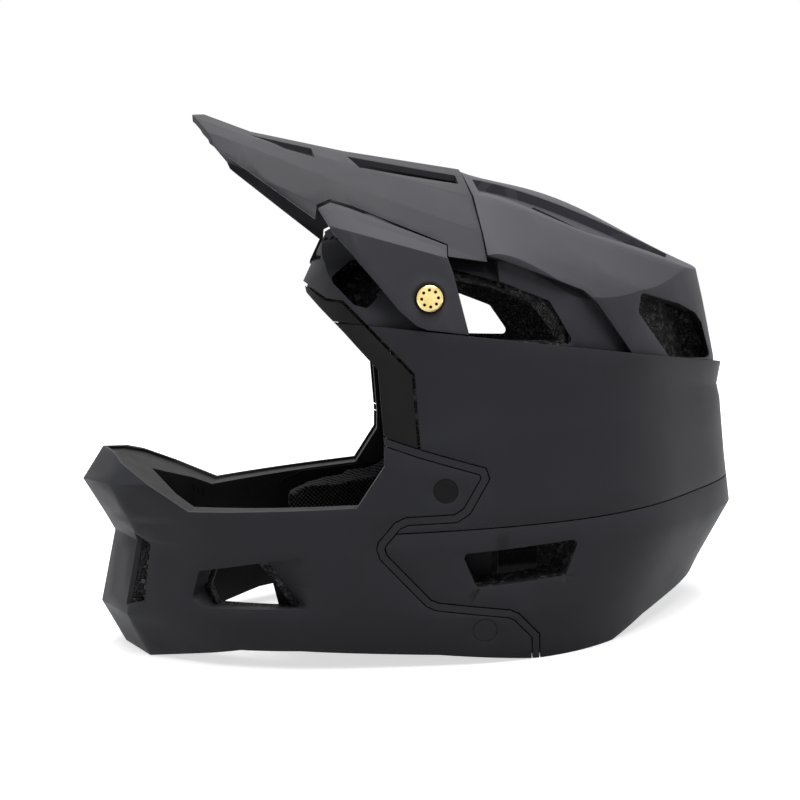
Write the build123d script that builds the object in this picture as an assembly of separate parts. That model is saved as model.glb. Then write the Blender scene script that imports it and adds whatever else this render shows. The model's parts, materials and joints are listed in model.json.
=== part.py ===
from build123d import *
from functools import lru_cache
import os
import math

# A downhill full face bicycle helmet, in millimetres. The front points along -X, the wearer's
# left is -Y, and Z is zero at the plane that the helmet rests on.

# Overall sizes
LENGTH = 360
WIDTH = 220
HEIGHT = 286
HALF_LENGTH = LENGTH / 2
HALF_WIDTH = WIDTH / 2

# Walls and gaps
SHELL_WALL = 2.6
SEAM_GAP = 0.6
LEDGE_GAP = 0.15
TRIM_GAP = 1.4
FOAM_GAP = 0.4
PAD_GAP = 0.5
STRIP_WIDTH = 3.2
OVERRUN = 12

LEDGE_LIP = 4
RIM_GAP = 1.5

# Depth of the shell's recesses and of the pockets in the foam behind the rear and temple vents,
# with the rounding of the vents' corners
RECESS_DEPTH = 5
POCKET_DEPTH = 13
VENT_CORNER = 2.4
# The chin bar's side vents: how deep the bar's wall wraps into them, and where the wrap narrows
SCOOP_DEPTH = 10
SCOOP_WALL = 1.8
# The mesh in the front vents: its place along X, its thickness, and its square holes and bars
MESH_X_SHARE = -0.735
MESH_WALL = 1.2
MESH_HOLE = 2.2
MESH_BAR = 0.9
# Where the front vents end, as a share of half the length
FRONT_VENT_END_SHARE = -0.54
# Where cuts from the near side end, as shares of half the width
ARM_INNER_SHARE = 0.40
VENT_INNER_SHARE = 0.45
TEMPLE_INNER_SHARE = 0.40
BAND_INNER_SHARE = 0.30
PAD_INNER_SHARE = 0.20
CHIN_INNER_SHARE = 0.20
REAR_INNER_SHARE = 0.14

# Peak, its side arms and its thumb screws
PEAK_WALL = 3.4
ARM_WALL = 4.6
SCREW_X_SHARE = 0.066
SCREW_Z_SHARE = 0.617
SCREW_HEAD_RADIUS = 6.1
SCREW_HEAD_HEIGHT = 2.6
SCREW_SHANK_RADIUS = 2.5
SCREW_HOLE_RADIUS = 0.75
SCREW_HOLE_CIRCLE = 3.9
SCREW_HOLE_COUNT = 8
SCREW_FIT = 0.2
WASHER_RADIUS = 7.0
WASHER_HEIGHT = 1.2
ARM_BOSS_WALL = 1.2
ARM_SEAT_SHARE = 0.947
ARM_FACE_SHARE = 0.897
INSERT_RADIUS = 4.6
INSERT_HEIGHT = 2.2
INSERT_FLANGE = 3
INSERT_END_SHARE = 0.84

# Chin bar's inner skin, and where its foam ends at the rear
SKIN_WALL = 2.2
CHIN_FOAM_END_SHARE = -0.045

# Plugs over the chin bar's bolts
PLUG_RADIUS = 5.6
PLUG_HEIGHT = 1.6
BOLT_GAP = 0.3
BOLT_HEAD_RADIUS = 4.5
BOLT_HEAD_HEIGHT = 2.4
BOLT_RADIUS = 2
BOLT_LENGTH = 12
UPPER_PLUG_SHARES = (0.069, 0.302)
LOWER_PLUG_SHARES = (0.146, 0.062)

# Pads and straps
CHEEK_PAD_THICKNESS = 22
CHEEK_PAD_CORNER = 9
CHEEK_PAD_BEVEL = 7
CHEEK_SHOULDER_SHARE = 0.72
CHEEK_FACE_SHARE = 0.58
PLATE_WALL = 1.4
COMFORT_PAD_THICKNESS = 7
WEB_WIDTH = 20
WEB_THICKNESS = 1.6
RIVET_HEAD_RADIUS = 7
RIVET_HEAD_HEIGHT = 1.6
RIVET_SHANK_RADIUS = 2.4
RIVET_BARREL_RADIUS = 4.5
RIVET_BARREL_LENGTH = 11
RIVET_DROP = 11
BUCKLE_LENGTH = 40
BUCKLE_WIDTH = 27
BUCKLE_HEIGHT = 8
BUCKLE_WALL = 1.8
BUCKLE_SPLIT = 6
BUCKLE_CORNER = 2
BUCKLE_GAP = 0.4
WEB_TUCK = 6
PRONG_WIDTH = 3
PRONG_REACH = 12

# Levels of the body, as shares of height at the front and the rear end, then the reach of the
# nose and the tail as shares of half the length, then the girth of the rear and of the cheeks.
BODY_LEVEL_SHARES = (
    (-0.011, -0.011, 0.910, 0.805, 0.905, 0.905),
    (0.084, 0.084, 0.980, 0.892, 0.976, 0.981),
    (0.223, 0.183, 0.918, 0.999, 0.995, 0.995),
    (0.256, 0.277, 0.944, 0.991, 1.000, 0.966),
    (0.326, 0.326, 1.000, 0.989, 1.000, 0.905),
    (0.386, 0.386, 0.929, 0.987, 0.998, 0.850),
    (0.585, 0.410, 0.583, 0.980, 0.990, 0.990),
    (0.686, 0.453, 0.350, 0.997, 0.986, 0.986),
)
# Half outline of the body seen from above: from the nose to the tail, and out to the girth
BODY_PLAN_SHARES = (
    (-1.000, 0.00), (-0.880, 0.35), (-0.642, 0.63), (-0.364, 0.838), (-0.09, 0.943),
    (0.206, 1.000), (0.500, 0.925), (0.655, 0.775), (0.815, 0.51), (1.000, 0.00),
)
BODY_CORNERS = 2
DOME_CORNERS = 1

# Half outline of the dome seen from above, and its levels: height, nose, tail and girth
DOME_PLAN_SHARES = (
    (-1.000, 0.00), (-0.970, 0.36), (-0.830, 0.57), (-0.550, 0.79), (-0.160, 0.945),
    (0.200, 1.000), (0.500, 0.930), (0.670, 0.76), (0.830, 0.50), (1.000, 0.00),
)
DOME_LEVEL_SHARES = (
    (0.293, 0.362, 0.983, 0.962),
    (0.469, 0.350, 0.974, 0.957),
    (0.579, 0.332, 0.950, 0.952),
    (0.667, 0.277, 0.927, 0.948),
    (0.740, 0.210, 0.892, 0.924),
    (0.916, 0.058, 0.805, 0.857),
)

# Ribs of the dome: at each station along X the half section runs from the top of the spine to the
# spine's edge, the rail, the crease, the ridge, the flank and the base.
FRONT_RIB_SHARES = (
    (-0.350, ((0.000, 0.725), (0.143, 0.722), (0.381, 0.700), (0.552, 0.667), (0.667, 0.630),
              (0.762, 0.549), (0.857, 0.330))),
    (-0.175, ((0.000, 0.769), (0.143, 0.762), (0.400, 0.736), (0.590, 0.696), (0.724, 0.652),
              (0.838, 0.586), (0.905, 0.330))),
    (0.029, ((0.000, 0.813), (0.143, 0.802), (0.457, 0.758), (0.667, 0.708), (0.795, 0.672),
             (0.878, 0.601), (0.905, 0.330))),
    (0.300, ((0.000, 0.842), (0.143, 0.826), (0.467, 0.769), (0.686, 0.696), (0.800, 0.650),
             (0.885, 0.583), (0.905, 0.330))),
)
REAR_RIB_SHARES = (
    (0.210, ((0.000, 0.865), (0.143, 0.844), (0.476, 0.794), (0.743, 0.723), (0.857, 0.677),
             (0.914, 0.586), (0.962, 0.330))),
    (0.443, ((0.000, 0.814), (0.143, 0.798), (0.476, 0.740), (0.762, 0.665), (0.881, 0.617),
             (0.933, 0.531), (0.962, 0.330))),
    (0.612, ((0.000, 0.764), (0.143, 0.747), (0.457, 0.692), (0.705, 0.619), (0.857, 0.549),
             (0.914, 0.495), (0.952, 0.330))),
    (0.764, ((0.000, 0.705), (0.133, 0.694), (0.400, 0.658), (0.610, 0.575), (0.781, 0.495),
             (0.876, 0.421), (0.933, 0.330))),
    (0.875, ((0.000, 0.664), (0.114, 0.654), (0.295, 0.634), (0.514, 0.542), (0.705, 0.447),
             (0.819, 0.385), (0.905, 0.330))),
    (1.038, ((0.000, 0.604), (0.095, 0.597), (0.210, 0.575), (0.381, 0.484), (0.571, 0.396),
             (0.686, 0.359), (0.810, 0.330))),
)
# How much of a wall's thickness each point of a rib moves in and down
RIB_INSET_SHARES = ((0, 1), (0.1, 1), (0.3, 0.95), (0.55, 0.85), (0.8, 0.6), (1, 0.2), (1, 0))
PEAK_EDGE_X_SHARE = 0.232

# Ribs of the peak and its arms: spine, spine's edge, rail, crease, knee, hip and foot
PEAK_RIB_SHARES = (
    (-0.583, ((0.000, 1.016), (0.114, 1.005), (0.230, 0.992), (0.410, 0.965), (0.419, 0.954),
              (0.429, 0.934), (0.438, 0.879))),
    (-0.397, ((0.000, 0.963), (0.114, 0.952), (0.280, 0.938), (0.486, 0.911), (0.629, 0.858),
              (0.705, 0.799), (0.762, 0.714))),
    (-0.117, ((0.000, 0.913), (0.114, 0.901), (0.360, 0.872), (0.619, 0.822), (0.800, 0.758),
              (0.880, 0.735), (0.995, 0.542))),
    (0.233, ((0.000, 0.862), (0.143, 0.843), (0.476, 0.791), (0.743, 0.719), (0.867, 0.670),
             (0.935, 0.655), (0.995, 0.520))),
)
PEAK_INSET_SHARES = ((0, 1), (0.1, 1), (0.3, 0.95), (0.5, 0.85), (0.7, 0.7), (0.95, 0.3), (1, 0.1))

# Outlines in the side view, as shares of half the length and of the height
EYEPORT_SHARES = (
    (-1.200, 0.395), (-0.929, 0.386), (-0.876, 0.377), (-0.750, 0.325), (-0.635, 0.279),
    (-0.165, 0.281), (-0.085, 0.347), (-0.080, 0.386), (-0.081, 0.507), (-0.159, 0.570),
    (-0.222, 0.617), (-0.268, 0.654), (-0.350, 0.674), (-1.200, 0.674),
)
BAND_SHARES = (
    (-0.262, 0.659), (-0.206, 0.628), (-0.160, 0.621), (0.005, 0.495), (0.005, 0.375),
    (-0.120, 0.400), (-0.120, 0.507), (-0.200, 0.570), (-0.250, 0.617),
)
CHIN_BAR_SHARES = (
    (-0.160, 0.411), (-0.078, 0.380), (0.007, 0.358), (0.158, 0.324), (0.160, 0.319),
    (0.111, 0.272), (0.086, 0.263), (-0.040, 0.263), (-0.070, 0.255), (-0.118, 0.223),
    (-0.124, 0.210), (-0.117, 0.193), (-0.005, 0.109), (0.020, 0.101), (0.207, 0.081),
    (0.224, 0.075), (0.269, 0.040), (0.267, -0.060), (-1.200, -0.060), (-1.200, 0.411),
)
SEAM_HEIGHT_SHARE = 0.235
SCOOP_INNER_SHARE = 0.4
BOTTOM_SHARES = (
    (-1.200, 0.000), (-0.816, 0.000), (-0.682, 0.015), (-0.519, 0.034), (-0.350, 0.035),
    (0.022, 0.021), (0.262, 0.002), (0.300, 0.000), (0.510, 0.000), (0.618, 0.026),
    (0.758, 0.043), (0.875, 0.059), (1.200, 0.090), (1.200, -0.200), (-1.200, -0.200),
)
SCOOP_SHARES = (
    (0.120, 0.708), (0.264, 0.673), (0.480, 0.611), (0.515, 0.588), (0.610, 0.500),
    (0.606, 0.300), (0.120, 0.300),
)
SIDE_VENT_SHARES = ((0.128, 0.667), (0.261, 0.637), (0.387, 0.598), (0.447, 0.521), (0.150, 0.544))
SIDE_DUCT_SHARES = ((0.140, 0.630), (0.225, 0.612), (0.290, 0.595), (0.335, 0.551), (0.160, 0.556))
REAR_VENT_SHARES = (
    (0.644, 0.565), (0.660, 0.600), (0.806, 0.574), (0.875, 0.555), (0.903, 0.535),
    (0.931, 0.466), (0.749, 0.478),
)
LOW_VENT_SHARES = ((0.099, 0.195), (0.412, 0.203), (0.368, 0.142), (0.132, 0.136))
LOW_DUCT_SHARES = ((0.120, 0.190), (0.330, 0.195), (0.290, 0.158), (0.150, 0.152))
CHIN_SIDE_VENT_SHARES = ((-0.651, 0.122), (-0.625, 0.174), (-0.440, 0.192), (-0.310, 0.201),
                         (-0.285, 0.145), (-0.318, 0.113), (-0.600, 0.110))
CHIN_SIDE_HOLE_SHARES = ((-0.618, 0.136), (-0.582, 0.177), (-0.470, 0.186), (-0.425, 0.187),
                         (-0.377, 0.147), (-0.333, 0.106), (-0.590, 0.106))
CHIN_SIDE_DUCT_SHARES = ((-0.600, 0.136), (-0.572, 0.172), (-0.480, 0.180), (-0.448, 0.181),
                         (-0.400, 0.141), (-0.358, 0.102), (-0.580, 0.102))
# Two points of the chin bar's side in the view from above, at the height of its side vent
CHIN_SIDE_PLAN_SHARES = ((-0.610, 0.620), (-0.346, 0.825))
TEMPLE_VENT_SHARES = ((-0.118, 0.699), (-0.182, 0.668), (-0.182, 0.658), (-0.129, 0.617),
                      (-0.095, 0.609), (-0.045, 0.636))
PEAK_SIDE_SHARES = (
    (-0.551, 0.951), (-0.212, 0.763), (-0.205, 0.788), (-0.169, 0.797), (-0.118, 0.784),
    (0.131, 0.704), (0.125, 0.683), (0.229, 0.670), (0.229, 1.200), (-0.527, 1.200),
    (-0.527, 1.003), (-0.566, 0.984),
)
ARM_SHARES = (
    (-0.203, 0.782), (-0.169, 0.791), (-0.118, 0.778), (0.128, 0.7025), (0.122, 0.683),
    (0.133, 0.657), (0.160, 0.5535), (0.053, 0.5665), (0.028, 0.574), (-0.013, 0.600),
    (-0.051, 0.635), (-0.121, 0.697), (-0.169, 0.738),
)
# Outlines in the view from above, as shares of half the length and half the width
PEAK_PLAN_SHARES = (
    (-0.566, 0.000), (-0.552, -0.19), (-0.487, -0.48), (-0.300, -1.200), (0.400, -1.200),
    (0.400, 1.200), (-0.300, 1.200), (-0.487, 0.48), (-0.552, 0.19),
)
CHANNEL_PLAN_SHARES = ((0.255, 0.170), (0.255, 0.400), (0.560, 0.420), (0.800, 0.300),
                       (0.830, 0.140), (0.700, 0.160))
ROOF_VENT_PLAN_SHARES = (
    ((0.272, 0.220), (0.272, 0.370), (0.350, 0.350)),
    ((0.430, 0.200), (0.400, 0.300), (0.560, 0.380), (0.640, 0.370), (0.620, 0.300)),
)
PEAK_SLOT_PLAN_SHARES = (
    ((-0.400, 0.160), (-0.215, 0.160), (-0.205, 0.370), (-0.290, 0.340)),
    ((-0.110, 0.160), (0.205, 0.160), (0.205, 0.300), (-0.080, 0.380)),
)
# The front vents, seen from the front, as shares of half the width and of the height
FRONT_VENT_SHARES = ((0.335, 0.235), (0.400, 0.215), (0.405, 0.112), (0.315, 0.100))

# Outlines of the pads: the cheek pads in the side view, and the crown, brow and rear pads
CHEEK_PAD_SHARES = (
    (-0.449, 0.220), (-0.431, 0.262), (-0.350, 0.277), (-0.080, 0.277), (-0.030, 0.320),
    (-0.020, 0.380), (0.175, 0.380), (0.205, 0.220), (0.175, 0.050), (-0.230, 0.050),
    (-0.410, 0.080),
)
CROWN_PAD_SHARES = (
    (0.020, -0.080), (0.020, -0.420), (0.130, -0.420), (0.160, -0.120), (0.260, -0.120),
    (0.300, -0.440), (0.420, -0.400), (0.400, -0.100), (0.560, -0.080),
)
BROW_PAD_LOW_SHARE = 0.655
BROW_PAD_HIGH_SHARE = 0.678
CROWN_PAD_LOW_SHARE = 0.685
BROW_PAD_END_SHARE = 0.080
REAR_PAD_LOW_SHARE = 0.420
REAR_PAD_HIGH_SHARE = 0.520
REAR_PAD_START_SHARE = 0.560
# The near half of the chin strap seen from the front, from its anchor to the buckle
STRAP_SHARES = ((-0.760, 0.262), (-0.760, 0.115), (-0.560, 0.056), (-0.129, 0.056))
STRAP_BEND = 16
STRAP_X_SHARE = 0.272

# Levels of the head room: height, nose, tail and girth
ROOM_LEVEL_SHARES = (
    (-0.018, 0.781, 0.729, 0.781),
    (0.110, 0.787, 0.805, 0.800),
    (0.220, 0.787, 0.851, 0.810),
    (0.385, 0.787, 0.857, 0.810),
    (0.549, 0.437, 0.828, 0.800),
    (0.630, 0.222, 0.720, 0.715),
    (0.690, 0.128, 0.570, 0.580),
    (0.735, 0.029, 0.410, 0.410),
    (0.760, 0.020, 0.280, 0.230),
)
ROOM_SIDE_SHARE = 0.5


def level_height(level, x):
    """Height of a body level's tilted plane at a place along X."""
    front, rear = level[0] * HEIGHT, level[1] * HEIGHT
    return front + (rear - front) * (x + HALF_LENGTH) / LENGTH


def mirrored_outline(points, corners):
    """Closed wire through a half outline and its mirror image: straight lines between the first
    points, as many as corners says, and one smooth curve over the rest."""
    other = [Vector(p.X, -p.Y, p.Z) for p in reversed(points[1:-1])]
    other.append(points[0])
    curve = points[corners:] + other[:len(other) - corners]
    edges = [Edge.make_line(points[i], points[i + 1]) for i in range(corners)]
    edges.append(Edge.make_spline(curve))
    back = other[len(other) - corners - 1:]
    edges += [Edge.make_line(first, last) for first, last in zip(back, back[1:])]
    return Wire(edges)


def body_outline(level, inset, drop):
    """One level of the body, moved in by the inset and down by the drop."""
    _, _, nose, tail, girth, cheek = level
    points = []
    for along, out in BODY_PLAN_SHARES:
        reach = (nose if along < 0 else tail) * HALF_LENGTH - inset
        width = (girth + (cheek - girth) * max(0, -along)) * HALF_WIDTH - inset
        x = along * reach
        points.append(Vector(x, -out * width, level_height(level, x) - drop))
    return mirrored_outline(points, BODY_CORNERS)


def plan_outline(level, inset, shares, corners):
    """One level seen from above, moved in by the inset."""
    height, nose, tail, girth = level
    points = []
    for along, out in shares:
        reach = (nose if along < 0 else tail) * HALF_LENGTH - inset
        points.append(Vector(along * reach, -out * (girth * HALF_WIDTH - inset), height * HEIGHT))
    return mirrored_outline(points, corners)


def rib_wire(station, inset_shares, inset, floor=None):
    """A closed section across X, moved in and down by the inset. The floor gives it a flat
    bottom; without one it closes from foot to foot."""
    x, ribs = station
    half = []
    for (out, up), (inward, down) in zip(ribs, inset_shares):
        half.append((out * HALF_WIDTH - inward * inset, up * HEIGHT - down * inset))
    if floor is not None:
        half.append((half[-1][0], floor))
    near = [Vector(x * HALF_LENGTH, -y, z) for y, z in reversed(half)]
    far = [Vector(x * HALF_LENGTH, y, z) for y, z in half[1:]]
    return Wire.make_polygon(near + far, close=True)


def side_wire(shares, y, corner=0):
    """An outline in the side view at a place along Y, with its corners rounded."""
    points = [Vector(x * HALF_LENGTH, y, z * HEIGHT) for x, z in shares]
    wire = Wire.make_polygon(points, close=True)
    if corner:
        wire = wire.fillet_2d(corner, wire.vertices())
    return wire


def side_prism(shares, low_y, high_y, grow=0, corner=0):
    """A prism across Y over an outline in the side view, grown by an offset."""
    wire = side_wire(shares, low_y, corner)
    if grow:
        wire = wire.offset_2d(grow, kind=Kind.INTERSECTION)
    return Solid.extrude(Face(wire), Vector(0, high_y - low_y, 0))


def duct(outer_shares, inner_shares, inner_share):
    """A vent's way through the near foam, from its outer outline to its smaller inner one."""
    wires = [side_wire(outer_shares, -HALF_WIDTH - OVERRUN, VENT_CORNER),
             side_wire(outer_shares, -HALF_WIDTH + OVERRUN, VENT_CORNER),
             side_wire(inner_shares, -inner_share * HALF_WIDTH, VENT_CORNER)]
    return Solid.make_loft(wires, ruled=True)


def plan_prism(shares, low_z, high_z, grow=0):
    """A prism along Z over an outline in the view from above, grown by an offset."""
    points = [Vector(x * HALF_LENGTH, y * HALF_WIDTH, low_z) for x, y in shares]
    wire = Wire.make_polygon(points, close=True)
    if grow:
        wire = wire.offset_2d(grow, kind=Kind.INTERSECTION)
    return Solid.extrude(Face(wire), Vector(0, 0, high_z - low_z))


def through_prism(shares, grow=0):
    """A side view prism through the whole width."""
    return side_prism(shares, -HALF_WIDTH - OVERRUN, HALF_WIDTH + OVERRUN, grow)


def near_prism(shares, inner_share, grow=0, corner=0):
    """A side view prism from outside the near side in to a share of half the width."""
    return side_prism(shares, -HALF_WIDTH - OVERRUN, -inner_share * HALF_WIDTH, grow, corner)


def block(low, high):
    """A box between two corners."""
    size = [b - a for a, b in zip(low, high)]
    return Pos(*low) * Solid.make_box(*size)


def mirrored(shape):
    """The far side's copy of a near side shape."""
    return shape.mirror(Plane.XZ)


def cut(shape, tools):
    """A shape less each tool in turn."""
    for tool in tools:
        shape = shape - tool
    return shape


def side_of_ledge(above, gap=0):
    """A block over all that lies above, or below, the tilted plane of the belt's ledge."""
    level = BODY_LEVEL_SHARES[-1]
    shift = gap if above else -gap
    front = level_height(level, -LENGTH) + shift
    rear = level_height(level, LENGTH) + shift
    limit = 2 * HEIGHT if above else -HEIGHT
    corners = [Vector(-LENGTH, -WIDTH, front), Vector(LENGTH, -WIDTH, rear),
               Vector(LENGTH, -WIDTH, limit), Vector(-LENGTH, -WIDTH, limit)]
    return Solid.extrude(Face(Wire.make_polygon(corners, close=True)), Vector(0, 2 * WIDTH, 0))


@lru_cache(maxsize=None)
def body_form(inset):
    """The body below the ledge, moved in by the inset, with its top lowered as much."""
    last = len(BODY_LEVEL_SHARES) - 1
    wires = [body_outline(level, inset, inset if i == last else 0)
             for i, level in enumerate(BODY_LEVEL_SHARES)]
    return Solid.make_loft(wires, ruled=True)


def dome_wall(inset):
    wires = [plan_outline(level, inset, DOME_PLAN_SHARES, DOME_CORNERS)
             for level in DOME_LEVEL_SHARES]
    return Solid.make_loft(wires, ruled=True)


def dome_ribs(stations, inset):
    floor = DOME_LEVEL_SHARES[0][0] * HEIGHT
    wires = [rib_wire(station, RIB_INSET_SHARES, inset, floor) for station in stations]
    return Solid.make_loft(wires, ruled=False)


@lru_cache(maxsize=None)
def dome_form(inset):
    """The dome: the rear ribs, and the lower front ribs under the peak, within the outer wall."""
    edge = PEAK_EDGE_X_SHARE * HALF_LENGTH
    far = LENGTH
    wall = dome_wall(inset)
    rear = dome_ribs(REAR_RIB_SHARES, inset) & block((edge + inset, -far, 0), (far, far, far))
    front = dome_ribs(FRONT_RIB_SHARES, inset) & block((-far, -far, 0), (edge + inset, far, far))
    return (rear + front) & wall


def recess_prisms(grow):
    """The side scoops and the roof channels, grown by an offset."""
    scoop = near_prism(SCOOP_SHARES, SCOOP_INNER_SHARE, grow)
    channel = plan_prism(CHANNEL_PLAN_SHARES, HALF_WIDTH, HEIGHT, grow)
    return [scoop, mirrored(scoop), channel, mirrored(channel)]


@lru_cache(maxsize=None)
def recessed_dome(inset):
    """The dome with its recesses pressed in, so that a wall between two insets is even."""
    deep = dome_form(inset + RECESS_DEPTH)
    return cut(dome_form(inset), [prism - deep for prism in recess_prisms(inset)])


@lru_cache(maxsize=None)
def head_room(inset):
    """The room for the head, moved in by the inset. Its upper levels drop with the inset."""
    top = ROOM_LEVEL_SHARES[-1][0]
    wires = []
    for height, nose, tail, girth in ROOM_LEVEL_SHARES:
        drop = inset * max(0, (height - ROOM_SIDE_SHARE) / (top - ROOM_SIDE_SHARE))
        level = (height - drop / HEIGHT, nose, tail, girth)
        wires.append(plan_outline(level, inset, BODY_PLAN_SHARES, DOME_CORNERS))
    return Solid.make_loft(wires, ruled=True)


def peak_form(inset):
    wires = [rib_wire(station, PEAK_INSET_SHARES, inset) for station in PEAK_RIB_SHARES]
    return Solid.make_loft(wires, ruled=True)


def front_wire(x, grow=0):
    """The near front vent's outline, seen from the front, at a place along X."""
    points = [Vector(x, -y * HALF_WIDTH, z * HEIGHT) for y, z in FRONT_VENT_SHARES]
    wire = Wire.make_polygon(points, close=True)
    if grow:
        wire = wire.offset_2d(grow, kind=Kind.INTERSECTION)
    return wire


def front_vent():
    """The near front vent, cut through the chin bar along X."""
    start = -HALF_LENGTH - OVERRUN
    end = FRONT_VENT_END_SHARE * HALF_LENGTH
    return Solid.extrude(Face(front_wire(start)), Vector(end - start, 0, 0))


def edge_distance(points, y, z):
    """How far a place lies inside the nearest edge of a convex outline, negative outside."""
    least = WIDTH
    for (y0, z0), (y1, z1) in zip(points, points[1:] + points[:1]):
        along, up = y1 - y0, z1 - z0
        least = min(least, ((y - y0) * up - (z - z0) * along) / math.hypot(along, up))
    return least


def front_mesh():
    """The near front vent's mesh: a plate with a grid of square holes, set in the foam."""
    x = MESH_X_SHARE * HALF_LENGTH
    outline = [(-y * HALF_WIDTH, z * HEIGHT) for y, z in FRONT_VENT_SHARES]
    pitch, half = MESH_HOLE + MESH_BAR, MESH_HOLE / 2
    low_y, high_y = min(y for y, _ in outline), max(y for y, _ in outline)
    low_z, high_z = min(z for _, z in outline), max(z for _, z in outline)
    turn = sum(y0 * z1 - y1 * z0 for (y0, z0), (y1, z1) in zip(outline, outline[1:] + outline[:1]))
    if turn > 0:
        outline.reverse()
    holes = []
    for row in range(round((high_z - low_z) / pitch) + 1):
        for column in range(round((high_y - low_y) / pitch) + 1):
            y, z = low_y + (column + 0.5) * pitch, low_z + (row + 0.5) * pitch
            corners = [(y + a * half, z + b * half) for a, b in ((-1, -1), (1, -1), (1, 1), (-1, 1))]
            if min(edge_distance(outline, *corner) for corner in corners) > MESH_BAR:
                holes.append(Wire.make_polygon([Vector(x, *corner) for corner in corners], close=True))
    face = Face(front_wire(x, -FOAM_GAP), holes)
    return Solid.extrude(face, Vector(MESH_WALL, 0, 0))


def slanted_wire(shares, depth, grow):
    """An outline in the side view, laid on the chin bar's slanted side and moved in by the depth."""
    (first_x, first_y), (last_x, last_y) = CHIN_SIDE_PLAN_SHARES
    slope = (last_y - first_y) / (last_x - first_x)
    points = []
    for x, z in shares:
        out = first_y + slope * (x - first_x)
        points.append(Vector(x * HALF_LENGTH, depth - out * HALF_WIDTH, z * HEIGHT))
    wire = Wire.make_polygon(points, close=True)
    wire = wire.fillet_2d(VENT_CORNER, wire.vertices())
    if grow:
        wire = wire.offset_2d(grow, kind=Kind.INTERSECTION)
    return wire


def chin_scoop(grow=0):
    """The near side vent of the chin bar, grown by an offset: a funnel from its outer outline on
    the bar's side to its smaller hole."""
    wires = [slanted_wire(CHIN_SIDE_VENT_SHARES, -OVERRUN, grow),
             slanted_wire(CHIN_SIDE_VENT_SHARES, 0, grow),
             slanted_wire(CHIN_SIDE_HOLE_SHARES, SCOOP_DEPTH, grow),
             slanted_wire(CHIN_SIDE_HOLE_SHARES, SCOOP_DEPTH + OVERRUN, grow)]
    return Solid.make_loft(wires, ruled=True)


def both_sides(near):
    return near + [mirrored(shape) for shape in near]


@lru_cache(maxsize=None)
def roof_vents():
    return both_sides([plan_prism([(x, -y) for x, y in shares], HALF_WIDTH, HEIGHT)
                       for shares in ROOF_VENT_PLAN_SHARES])


def temple_vent():
    return near_prism(TEMPLE_VENT_SHARES, TEMPLE_INNER_SHARE, corner=VENT_CORNER)


@lru_cache(maxsize=None)
def crown_vents():
    """The crown shell's openings at the side and the temple."""
    return both_sides([near_prism(SIDE_VENT_SHARES, VENT_INNER_SHARE, corner=VENT_CORNER),
                       temple_vent()])


@lru_cache(maxsize=None)
def crown_ducts():
    """The side openings' ways through the foam."""
    return both_sides([duct(SIDE_VENT_SHARES, SIDE_DUCT_SHARES, VENT_INNER_SHARE)])


@lru_cache(maxsize=None)
def low_vents():
    return both_sides([near_prism(LOW_VENT_SHARES, VENT_INNER_SHARE, corner=VENT_CORNER)])


@lru_cache(maxsize=None)
def low_ducts():
    return both_sides([duct(LOW_VENT_SHARES, LOW_DUCT_SHARES, VENT_INNER_SHARE)])


@lru_cache(maxsize=None)
def chin_ducts():
    """The chin vents' ways through the liner."""
    return both_sides([near_prism(CHIN_SIDE_DUCT_SHARES, CHIN_INNER_SHARE), front_vent()])


@lru_cache(maxsize=None)
def scoop_rooms():
    """The room that the chin bar's wrapped vent walls take in the foam."""
    room = chin_scoop(SCOOP_WALL + FOAM_GAP) - body_form(SHELL_WALL + SCOOP_DEPTH + FOAM_GAP)
    return both_sides([room])


@lru_cache(maxsize=None)
def rear_vents():
    return both_sides([near_prism(REAR_VENT_SHARES, REAR_INNER_SHARE, corner=VENT_CORNER)])


@lru_cache(maxsize=None)
def foam_pockets():
    """The foam's pockets behind the rear and the temple vents."""
    floor = dome_form(SHELL_WALL + POCKET_DEPTH)
    return [vent - floor for vent in rear_vents() + both_sides([temple_vent()])]


def crown_shell():
    shell = recessed_dome(0) - recessed_dome(SHELL_WALL)
    shell = shell & side_of_ledge(True, LEDGE_GAP)
    tools = [through_prism(EYEPORT_SHARES), through_prism(BAND_SHARES, TRIM_GAP)]
    shell = cut(shell, tools + crown_vents() + roof_vents() + rear_vents())
    return max(shell.solids(), key=lambda solid: solid.volume)


def outer_skin():
    """The body's shell before it is parted into the side, the lower rear and the chin bar."""
    skin = body_form(0) - body_form(SHELL_WALL)
    return cut(skin, [through_prism(EYEPORT_SHARES), through_prism(BOTTOM_SHARES)])


def below_seam(gap):
    far = LENGTH
    height = SEAM_HEIGHT_SHARE * HEIGHT
    return block((-far, -far, -far), (far, far, height - gap))


def side_shell(skin):
    seam = through_prism(CHIN_BAR_SHARES, 2 * SEAM_GAP + STRIP_WIDTH)
    return cut(skin, [dome_wall(LEDGE_LIP), seam, through_prism(BAND_SHARES, TRIM_GAP),
                      below_seam(-SEAM_GAP / 2)])


def lower_shell(skin):
    shell = skin & below_seam(SEAM_GAP / 2)
    shell = shell - through_prism(CHIN_BAR_SHARES, 2 * SEAM_GAP + STRIP_WIDTH)
    return cut(shell, low_vents())


def chin_bar(skin):
    """The chin bar, whose wall wraps into its side vents as scoops."""
    bar = skin & through_prism(CHIN_BAR_SHARES)
    ring = body_form(0) - body_form(SHELL_WALL + SCOOP_DEPTH)
    wrap = (chin_scoop(SCOOP_WALL) & ring) - front_vent()
    bar = bar + wrap + mirrored(wrap)
    return cut(bar, both_sides([chin_scoop(), front_vent()]))


def chin_strips(skin):
    ring = through_prism(CHIN_BAR_SHARES, SEAM_GAP + STRIP_WIDTH)
    ring = ring - through_prism(CHIN_BAR_SHARES, SEAM_GAP)
    return skin & ring


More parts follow.
